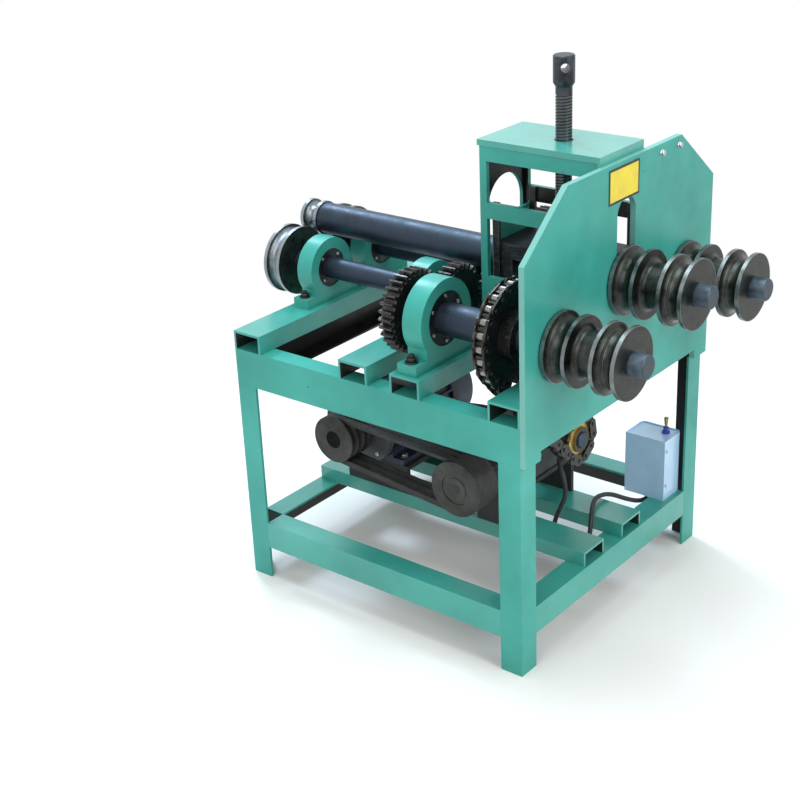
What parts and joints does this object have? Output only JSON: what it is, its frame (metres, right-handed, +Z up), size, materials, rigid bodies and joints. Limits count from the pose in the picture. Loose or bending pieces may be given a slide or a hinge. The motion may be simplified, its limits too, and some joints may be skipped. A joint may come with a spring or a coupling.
{
  "type": "pipe bending machine",
  "caption": "Motor-driven roll bender for pipes: grooved rolls on a front plate, a screw that presses the upper roll down, and a chain and gear drive in an angle-iron frame.",
  "frame": {"origin": "on the floor, below the middle of the object's box", "axes": "+X out of the front plate, along the shafts; +Y to the right-hand side; +Z up"},
  "size_m": [1, 0.684, 1.142],
  "materials": {
    "green_paint": "gloss turquoise-green machine paint, chipped at the edges",
    "black_steel": "dark oiled steel, brighter where it runs",
    "roll_steel": "dark turned steel with bright rims",
    "chain_steel": "oiled dark steel with bright rollers",
    "cast_iron": "grey cast iron, dusty",
    "bearing_steel": "ground steel",
    "bronze": "cast bronze",
    "motor_paint": "dark blue-grey motor paint",
    "black_rubber": "matt black rubber",
    "box_paint": "pale blue-grey enamel",
    "black_plastic": "matt black plastic",
    "brass": "brass, worn bright",
    "blue_plastic": "blue plastic"
  },
  "bodies": {
    "frame": {"legs": "green_paint", "top_rails": "green_paint", "stretchers": "green_paint", "cross_members": "green_paint", "bearers": "green_paint", "front_plate": "green_paint", "tower_sides": "green_paint", "tower_back_plate": "green_paint", "tower_top_plate": "green_paint", "slide_guides": "black_steel", "screw_nut": "black_steel", "pillow_blocks": "green_paint", "shaft_bearings": "bearing_steel", "plate_bushes": "black_steel", "idler_bracket": "black_steel", "drive_chain": "chain_steel", "drive_belts": "black_rubber", "gearbox_housing": "cast_iron", "gearbox_covers": "cast_iron", "motor_frame": "motor_paint", "stator": "bearing_steel", "motor_shields": "cast_iron", "motor_covers": "motor_paint", "drive_stands": "black_steel", "control_box": "box_paint", "control_box_cover": "box_paint", "toggle_switch": "blue_plastic", "cable_glands": "black_plastic", "motor_lead": "black_rubber"},
    "slider": {"slider_block": "black_steel", "slider_bushes": "bronze", "slider_cover": "green_paint", "thrust_cap": "black_steel"},
    "screw": {"pressing_screw": "black_steel"},
    "upper": {"upper_shaft": "black_steel", "upper_roll": "roll_steel", "upper_back_roll": "roll_steel"},
    "left": {"left_shaft": "black_steel", "left_roll": "roll_steel", "left_gear": "black_steel", "large_sprocket": "chain_steel"},
    "right": {"right_shaft": "black_steel", "right_roll": "roll_steel", "right_gear": "black_steel"},
    "back_left": {"back_left_shaft": "black_steel", "back_left_roll": "roll_steel", "back_left_gear": "black_steel"},
    "back_right": {"back_right_shaft": "black_steel", "back_right_roll": "roll_steel", "back_right_gear": "black_steel"},
    "idler": {"idler_gear": "black_steel"},
    "output": {"output_shaft": "black_steel", "worm_wheel": "bronze", "small_sprocket": "chain_steel"},
    "worm": {"worm_shaft": "black_steel", "worm_pulley": "cast_iron"},
    "rotor": {"motor_rotor": "bearing_steel", "motor_pulley": "cast_iron", "motor_fan": "black_plastic"},
    "lever": {"switch_lever": "brass"}
  },
  "joints": [
    {"name": "left_shaft_turn", "type": "hinge", "parent": "frame", "child": "left", "pos_m": [0, -0.232, 0.667], "axis": [1, 0, 0], "continuous": true, "deforming": ["drive_chain", "drive_belts"]},
    {"name": "right_shaft_turn", "type": "hinge", "parent": "frame", "child": "right", "pos_m": [0, 0.232, 0.667], "axis": [1, 0, 0], "continuous": true},
    {"name": "back_left_shaft_turn", "type": "hinge", "parent": "frame", "child": "back_left", "pos_m": [0, -0.088, 0.65], "axis": [1, 0, 0], "continuous": true},
    {"name": "back_right_shaft_turn", "type": "hinge", "parent": "frame", "child": "back_right", "pos_m": [0, 0.088, 0.65], "axis": [1, 0, 0], "continuous": true},
    {"name": "idler_turn", "type": "hinge", "parent": "frame", "child": "idler", "pos_m": [0, 0, 0.59272], "axis": [1, 0, 0], "continuous": true},
    {"name": "output_shaft_turn", "type": "hinge", "parent": "frame", "child": "output", "pos_m": [0, -0.0031, 0.359], "axis": [1, 0, 0], "continuous": true},
    {"name": "worm_turn", "type": "hinge", "parent": "frame", "child": "worm", "pos_m": [0.078, 0, 0.309], "axis": [0, 1, 0], "continuous": true},
    {"name": "motor_turn", "type": "hinge", "parent": "frame", "child": "rotor", "pos_m": [-0.244, 0, 0.334], "axis": [0, 1, 0], "continuous": true},
    {"name": "slider_travel", "type": "slide", "parent": "frame", "child": "slider", "axis": [0, 0, 1], "range_m": [0, 0.11]},
    {"name": "screw_turn", "type": "hinge", "parent": "slider", "child": "screw", "pos_m": [0.171, 0, 0.9], "axis": [0, 0, 1], "range_deg": [0, 6600]},
    {"name": "upper_shaft_turn", "type": "hinge", "parent": "slider", "child": "upper", "pos_m": [0, 0, 0.724], "axis": [1, 0, 0], "continuous": true},
    {"name": "switch_toggle", "type": "hinge", "parent": "frame", "child": "lever", "pos_m": [0.26, 0.275, 0.284], "axis": [0, 1, 0], "range_deg": [-12, 12]}
  ],
  "couplings": [
    {"joint": "right_shaft_turn", "follows": "left_shaft_turn", "ratio": 1},
    {"joint": "back_left_shaft_turn", "follows": "left_shaft_turn", "ratio": -1.2308},
    {"joint": "back_right_shaft_turn", "follows": "left_shaft_turn", "ratio": -1.2308},
    {"joint": "idler_turn", "follows": "left_shaft_turn", "ratio": 2},
    {"joint": "output_shaft_turn", "follows": "left_shaft_turn", "ratio": 2.1818},
    {"joint": "worm_turn", "follows": "left_shaft_turn", "ratio": 65.455},
    {"joint": "motor_turn", "follows": "left_shaft_turn", "ratio": 75.524},
    {"joint": "screw_turn", "follows": "slider_travel", "rad_per_m": 1047.2}
  ]
}
